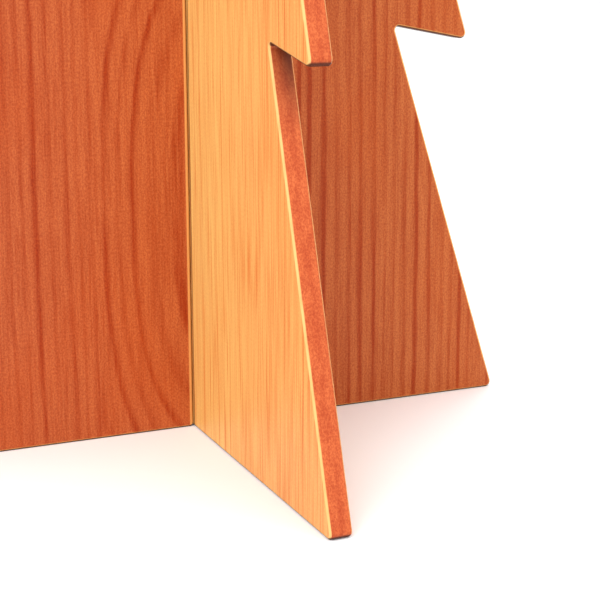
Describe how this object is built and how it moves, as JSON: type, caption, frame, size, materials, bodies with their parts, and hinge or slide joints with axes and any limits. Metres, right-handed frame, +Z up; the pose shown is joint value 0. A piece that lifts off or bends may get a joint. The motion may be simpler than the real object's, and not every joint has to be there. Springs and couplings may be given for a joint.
{
  "type": "bible stand",
  "caption": "Knock-down floor stand: slotted boards with a stepped outline cross at right angles under a sloping book rest with a ledge.",
  "frame": {"origin": "on the floor, on the vertical line where the two pedestal panels cross", "axes": "+Z up, -Y towards the reader, +X to the reader's right"},
  "size_m": [0.5762, 0.5762, 1.1297],
  "materials": {
    "honey_pine": "satin lacquered pine, light honey, vertical grain",
    "red_pine": "satin lacquered pine, red-brown stain, vertical grain",
    "beech_dowel": "sanded beech",
    "screw_brass": "brass, countersunk screws"
  },
  "bodies": {
    "spine": {"spine_panel": "honey_pine"},
    "cross": {"cross_panel": "red_pine"},
    "rest": {"book_board": "red_pine", "ledge": "honey_pine", "bearer_left": "honey_pine", "bearer_right": "honey_pine", "bearer_screw_1": "screw_brass", "bearer_screw_2": "screw_brass", "bearer_screw_3": "screw_brass", "bearer_screw_4": "screw_brass", "bearer_screw_5": "screw_brass", "bearer_screw_6": "screw_brass", "bearer_screw_7": "screw_brass", "bearer_screw_8": "screw_brass", "ledge_dowel_1": "beech_dowel", "ledge_dowel_2": "beech_dowel", "ledge_dowel_3": "beech_dowel", "ledge_dowel_4": "beech_dowel"}
  },
  "joints": [
    {"name": "cross_panel_lift", "type": "slide", "parent": "spine", "child": "cross", "axis": [0, 0, 1], "range_m": [0, 0.5]},
    {"name": "book_rest_lift", "type": "slide", "parent": "cross", "child": "rest", "axis": [0, 0, 1], "range_m": [0, 0.08]}
  ]
}
